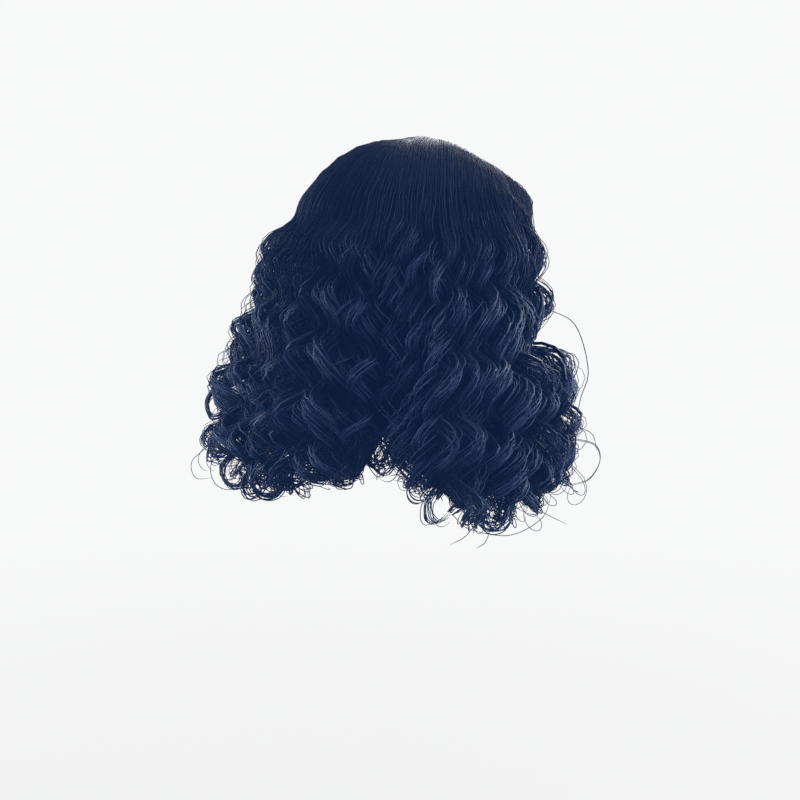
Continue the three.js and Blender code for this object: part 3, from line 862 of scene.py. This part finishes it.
def body_material(name, dark, light):
    """Fine streaks along the hair."""
    material, nodes, links, shader = new_material(name)
    stretch = nodes.new("ShaderNodeMapping")
    stretch.inputs["Scale"].default_value = (260, 5, 1)
    links.new(hair_place(nodes), stretch.inputs["Vector"])
    streaks = nodes.new("ShaderNodeTexNoise")
    streaks.inputs["Scale"].default_value = 1.0
    streaks.inputs["Detail"].default_value = 3.0
    links.new(stretch.outputs["Vector"], streaks.inputs["Vector"])
    colour = ramp(nodes, [(0.3, dark), (0.7, light)])
    links.new(streaks.outputs["Fac"], colour.inputs["Fac"])
    links.new(colour.outputs["Color"], shader.inputs["Base Color"])
    bump = nodes.new("ShaderNodeBump")
    bump.inputs["Strength"].default_value = 0.8
    bump.inputs["Distance"].default_value = 0.001
    links.new(streaks.outputs["Fac"], bump.inputs["Height"])
    links.new(bump.outputs["Normal"], shader.inputs["Normal"])
    hair_shine_and_glow(shader)
    return material


# Colours from dark to light
# the light end is reached mostly on wave crests, as painted highlight
STRAND_COLOURS = [(0.0004, 0.0009, 0.0028), (0.0009, 0.0022, 0.0064), (0.008, 0.0135, 0.031)]
CORE_COLOURS = [(0.0008, 0.002, 0.005), (0.0013, 0.003, 0.007), (0.0018, 0.004, 0.009)]
BODY_COLOURS = [(0.0003, 0.001, 0.003), (0.001, 0.0025, 0.007)]


def build_hair():
    """Every piece of hair."""
    strand = hair_material("hair_strands", *STRAND_COLOURS)
    core = hair_material("hair_cores", *CORE_COLOURS)
    body = body_material("hair_body", *BODY_COLOURS)
    for section in SECTIONS:
        body_piece(section, body)
        for layer in LAYERS:
            locks = locks_of(section, layer)
            if layer["name"] != "stray":
                core_piece(section, layer, locks, core)
            strand_pieces(section, layer, locks, strand)
    route_pieces(strand)


# Strands and rings that stand out from the outline: section, nearness to the camera of both ends in metres,
# number of strands, and places in the picture, in pixels
ROUTE_COLUMNS = "node near_start near_end copies places"
SINGLES = records(ROUTE_COLUMNS, [
    ("hair_right", 0.054, 0.080, 2, [(530, 296), (546, 308), (575, 325), (588, 370), (580, 400),
                                     (574, 436)]),
    ("hair_right", 0.075, 0.080, 2, [(556, 434), (574, 439), (595, 445), (600, 461), (588, 480),
                                     (564, 486)]),
    ("hair_right", 0.118, 0.082, 1, [(452, 514), (470, 529), (510, 535), (542, 518), (552, 494)]),
    ("hair_right", 0.090, 0.085, 1, [(524, 500), (542, 513), (566, 525)]),
    ("hair_right", 0.115, 0.115, 1, [(482, 514), (466, 536), (450, 545)]),
    ("hair_right", 0.110, 0.110, 1, [(494, 514), (486, 540), (476, 548)]),
    ("hair_right", 0.070, 0.075, 1, [(556, 404), (574, 424), (592, 434), (597, 452)]),
    ("hair_back", 0.020, 0.015, 1, [(230, 420), (208, 446), (192, 462), (196, 478), (212, 478)]),
    ("hair_back", 0.025, 0.030, 1, [(234, 436), (212, 462), (214, 482), (228, 490), (248, 484)]),
])
RINGS = records(ROUTE_COLUMNS, [
    ("hair_back", 0.092, 0.092, 14, [(266, 440), (254, 464), (253, 482), (262, 495), (277, 494),
                                     (285, 482), (278, 471), (265, 470), (257, 480)]),
    ("hair_back", 0.025, 0.025, 14, [(232, 370), (212, 390), (206, 403), (210, 416), (220, 414),
                                     (222, 404)]),
])
ROUTES = [
    {"name": "single", "routes": SINGLES, "radius": 0.00036, "spread": 0.0004},
    {"name": "ring", "routes": RINGS, "radius": STRAND_RADIUS, "spread": 0.0014},
]
ROUTE_POINTS = 12  # for each place
ROUTE_TAPER = 0.7  # share of the strand from which it tapers


def route_pieces(material):
    """Strands along the routes, each with its copies close beside it."""
    for kind in ROUTES:
        for number, route in enumerate(kind["routes"]):
            places, copies = route["places"], route["copies"]
            section = next(entry for entry in SECTIONS if entry["node"] == route["node"])
            nearness = np.linspace(route["near_start"], route["near_end"], len(places))
            points = np.array([picture_place(*place, near) for place, near in zip(places, nearness)])
            points = points[None] + RNG.normal(0, 1, (copies, 1, 3)) * kind["spread"]
            path = even_spline(points, np.linspace(0, 1, ROUTE_POINTS * len(places)))
            radius = kind["radius"] * tapered(path.shape[1], ROUTE_TAPER) + np.zeros((copies, 1))
            shade = np.repeat(RNG.uniform(*UV_LIMITS, (copies, 1)), path.shape[1], axis=1)
            label = f"{route['node']}_{kind['name']}_{number}"
            hair_piece(tube_piece(label, path, radius, STRAND_SIDES, shade), section, material)


# The net's threads run round the cap and down it at an angle, counted from a centre inside the cap
NET_CENTRE = (0, 0.013, -0.085)
NET_RADIUS = 0.085


def reckoned(nodes, links, operation, *values):
    """The result of a math node on other nodes' results and plain numbers."""
    node = nodes.new("ShaderNodeMath")
    node.operation = operation
    for socket, value in zip(node.inputs, values):
        if isinstance(value, bpy.types.NodeSocket):
            links.new(value, socket)
        else:
            socket.default_value = value
    return node.outputs["Value"]


def net_threads(nodes, links, size):
    """1 on the threads of a diagonal net, 0 in its holes."""
    place = nodes.new("ShaderNodeTexCoord")
    split = nodes.new("ShaderNodeSeparateXYZ")
    links.new(place.outputs["Object"], split.inputs[0])
    x, y, z = (reckoned(nodes, links, "SUBTRACT", split.outputs[k], NET_CENTRE[k]) for k in range(3))
    squares = [reckoned(nodes, links, "MULTIPLY", value, value) for value in (x, y)]
    reach = reckoned(nodes, links, "SQRT", reckoned(nodes, links, "ADD", *squares))
    count = round(2 * math.pi * NET_RADIUS / size)
    turns = reckoned(nodes, links, "MULTIPLY", reckoned(nodes, links, "ARCTAN2", x, y), count)
    drop = reckoned(nodes, links, "MULTIPLY", reckoned(nodes, links, "ARCTAN2", reach, z), count)
    bands = []
    for operation in ("ADD", "SUBTRACT"):
        wave = reckoned(nodes, links, "SINE", reckoned(nodes, links, operation, turns, drop))
        bands.append(reckoned(nodes, links, "MULTIPLY_ADD", wave, 0.5, 0.5))
    return reckoned(nodes, links, "MAXIMUM", *bands)


def net_material(name, hole, thread, size, alpha, rough):
    """A fine diagonal net."""
    material, nodes, links, shader = new_material(name)
    threads = net_threads(nodes, links, size)
    colour = ramp(nodes, [(0.55, hole), (0.9, thread)])
    links.new(threads, colour.inputs["Fac"])
    links.new(colour.outputs["Color"], shader.inputs["Base Color"])
    bump = nodes.new("ShaderNodeBump")
    bump.inputs["Strength"].default_value = 0.5
    bump.inputs["Distance"].default_value = 0.0004
    links.new(threads, bump.inputs["Height"])
    links.new(bump.outputs["Normal"], shader.inputs["Normal"])
    set_values(shader, Roughness=rough, Specular_IOR_Level=0.1, Alpha=alpha)
    return material


# Nets by node: material, colours of the holes and the threads, size of a hole, alpha and roughness
NETS = {
    "cap": ("cap_net", (0.006, 0.007, 0.010), (0.024, 0.026, 0.032), 0.0030, 1.0, 0.85),
    "lace_front": ("lace", (0.022, 0.021, 0.021), (0.075, 0.070, 0.068), 0.0018, 0.6, 0.9),
}


def finish_cap():
    """Gives the cap and the lace their nets."""
    for node, net in NETS.items():
        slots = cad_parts[node].data.materials
        slots.clear()
        slots.append(net_material(*net))


def place_camera():
    """A camera at the photograph's angle."""
    data = bpy.data.cameras.new("camera")
    data.sensor_width = 36
    data.lens = data.sensor_width / (FRAME_WIDTH / VIEW_DISTANCE)
    camera = bpy.data.objects.new("camera", data)
    camera.rotation_mode = "QUATERNION"
    camera.location = VIEW_TARGET + VIEW_BACK * VIEW_DISTANCE
    camera.rotation_quaternion = (-VIEW_BACK).to_track_quat("-Z", "Y")
    bpy.context.scene.collection.objects.link(camera)
    bpy.context.scene.camera = camera


FLOOR_HEIGHT = -0.62
FLOOR_SIZE = 60
BACKDROP = (0.935, 0.938, 0.945)


def build_stage():
    """A pale floor that runs into a backdrop of the same tone."""
    scene = bpy.context.scene
    scene.view_settings.view_transform = "Standard"
    world = bpy.data.worlds.new("studio")
    world.use_nodes = True
    background = world.node_tree.nodes["Background"]
    background.inputs["Color"].default_value = (*BACKDROP, 1)
    background.inputs["Strength"].default_value = 1.0
    scene.world = world
    half = FLOOR_SIZE / 2
    mesh = bpy.data.meshes.new("floor")
    corners = [(-half, -half), (half, -half), (half, half), (-half, half)]
    mesh.from_pydata([(x, y, FLOOR_HEIGHT) for x, y in corners], [], [(0, 1, 2, 3)])
    floor = bpy.data.objects.new("floor", mesh)
    material, nodes, links, shader = new_material("floor")
    set_values(shader, Base_Color=(0.11, 0.11, 0.11, 1), Roughness=0.95, Specular_IOR_Level=0.0)
    place = nodes.new("ShaderNodeTexCoord")
    far = nodes.new("ShaderNodeVectorMath")
    far.operation = "LENGTH"
    links.new(place.outputs["Object"], far.inputs[0])
    fade = nodes.new("ShaderNodeMapRange")
    fade.inputs["From Min"].default_value = 0.2
    fade.inputs["From Max"].default_value = 1.8
    fade.inputs["To Min"].default_value = 0.8
    fade.interpolation_type = "SMOOTHSTEP"
    links.new(far.outputs["Value"], fade.inputs["Value"])
    glow = nodes.new("ShaderNodeEmission")
    glow.inputs["Color"].default_value = (*BACKDROP, 1)
    both = nodes.new("ShaderNodeMixShader")
    links.new(fade.outputs["Result"], both.inputs["Fac"])
    links.new(shader.outputs["BSDF"], both.inputs[1])
    links.new(glow.outputs["Emission"], both.inputs[2])
    output = next(n for n in nodes if n.type == "OUTPUT_MATERIAL")
    links.new(both.outputs["Shader"], output.inputs["Surface"])
    mesh.materials.append(material)
    scene.collection.objects.link(floor)


# Soft lights: azimuth, elevation and distance from the wig, size and power
LIGHTS = [
    {"name": "right", "azimuth": 338, "elevation": 14, "distance": 1.8, "size": 2.0, "power": 275},
    {"name": "left", "azimuth": 165, "elevation": 15, "distance": 2.0, "size": 2.0, "power": 222},
    {"name": "front", "azimuth": 250, "elevation": 35, "distance": 2.4, "size": 1.6, "power": 10},
    {"name": "rim", "azimuth": 60, "elevation": 34, "distance": 1.8, "size": 1.7, "power": 80},
]
LIGHT_AIM = Vector((0, 0.02, -0.15))


def build_lights():
    """Lights that point at the middle of the wig."""
    for row in LIGHTS:
        away = direction(row["azimuth"], row["elevation"])
        data = bpy.data.lights.new(row["name"], "AREA")
        data.size, data.energy = row["size"], row["power"]
        light = bpy.data.objects.new(row["name"], data)
        light.location = LIGHT_AIM + away * row["distance"]
        light.rotation_mode = "QUATERNION"
        light.rotation_quaternion = (-away).to_track_quat("-Z", "Y")
        bpy.context.scene.collection.objects.link(light)


place_camera()
build_stage()
build_lights()
build_hair()
finish_cap()
